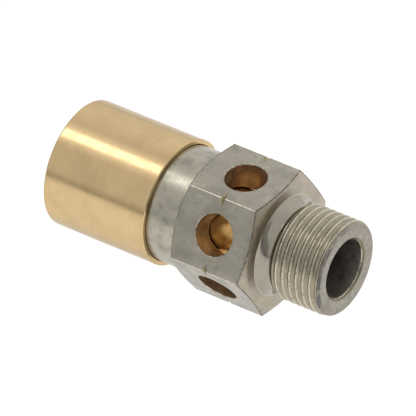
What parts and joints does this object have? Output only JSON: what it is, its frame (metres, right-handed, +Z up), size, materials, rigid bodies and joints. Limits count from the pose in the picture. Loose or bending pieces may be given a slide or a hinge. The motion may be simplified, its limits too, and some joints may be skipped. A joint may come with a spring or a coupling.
{
  "type": "boiler safety valve",
  "caption": "Spring-loaded boiler safety valve with a screwed inlet, a hexagon body with radial discharge ports, a sprung poppet and a closed brass cap over the adjuster.",
  "frame": {"origin": "on the valve's axis in the plane of the shoulder that the inlet thread stands out of", "axes": "+X along the axis out of the inlet, +Z up and square to the upper flat of the hexagon; the valve lies on its lower flat"},
  "size_m": [0.053, 0.0254, 0.022],
  "materials": {
    "nickel_plate": "satin nickel plate, stained",
    "cap_brass": "polished, lightly scratched",
    "inner_brass": "turned",
    "seal_rubber": "matte",
    "steel": "drawn"
  },
  "bodies": {
    "body": {"valve_body": "nickel_plate", "cap": "cap_brass", "spring": "steel"},
    "poppet": {"poppet": "inner_brass", "seal_disc": "seal_rubber", "seal_washer": "steel", "seal_screw": "steel", "spindle": "steel"},
    "spring_plate": {"upper_spring_plate": "inner_brass"},
    "adjuster": {"adjusting_screw": "inner_brass", "lock_ring": "inner_brass"}
  },
  "joints": [
    {"name": "poppet_lift", "type": "slide", "parent": "body", "child": "poppet", "axis": [-1, 0, 0], "range_m": [0, 0.002], "stiffness_N_per_m": 4100, "deforming": ["spring"]},
    {"name": "plate_travel", "type": "slide", "parent": "body", "child": "spring_plate", "axis": [1, 0, 0], "range_m": [-0.0015, 0.0015], "deforming": ["spring"]},
    {"name": "adjuster_turn", "type": "hinge", "parent": "spring_plate", "child": "adjuster", "pos_m": [-0.0325, 0, 0], "axis": [1, 0, 0], "range_deg": [-540, 540]}
  ],
  "couplings": [
    {"joint": "plate_travel", "follows": "adjuster_turn", "m_per_rad": 0.00015915}
  ]
}
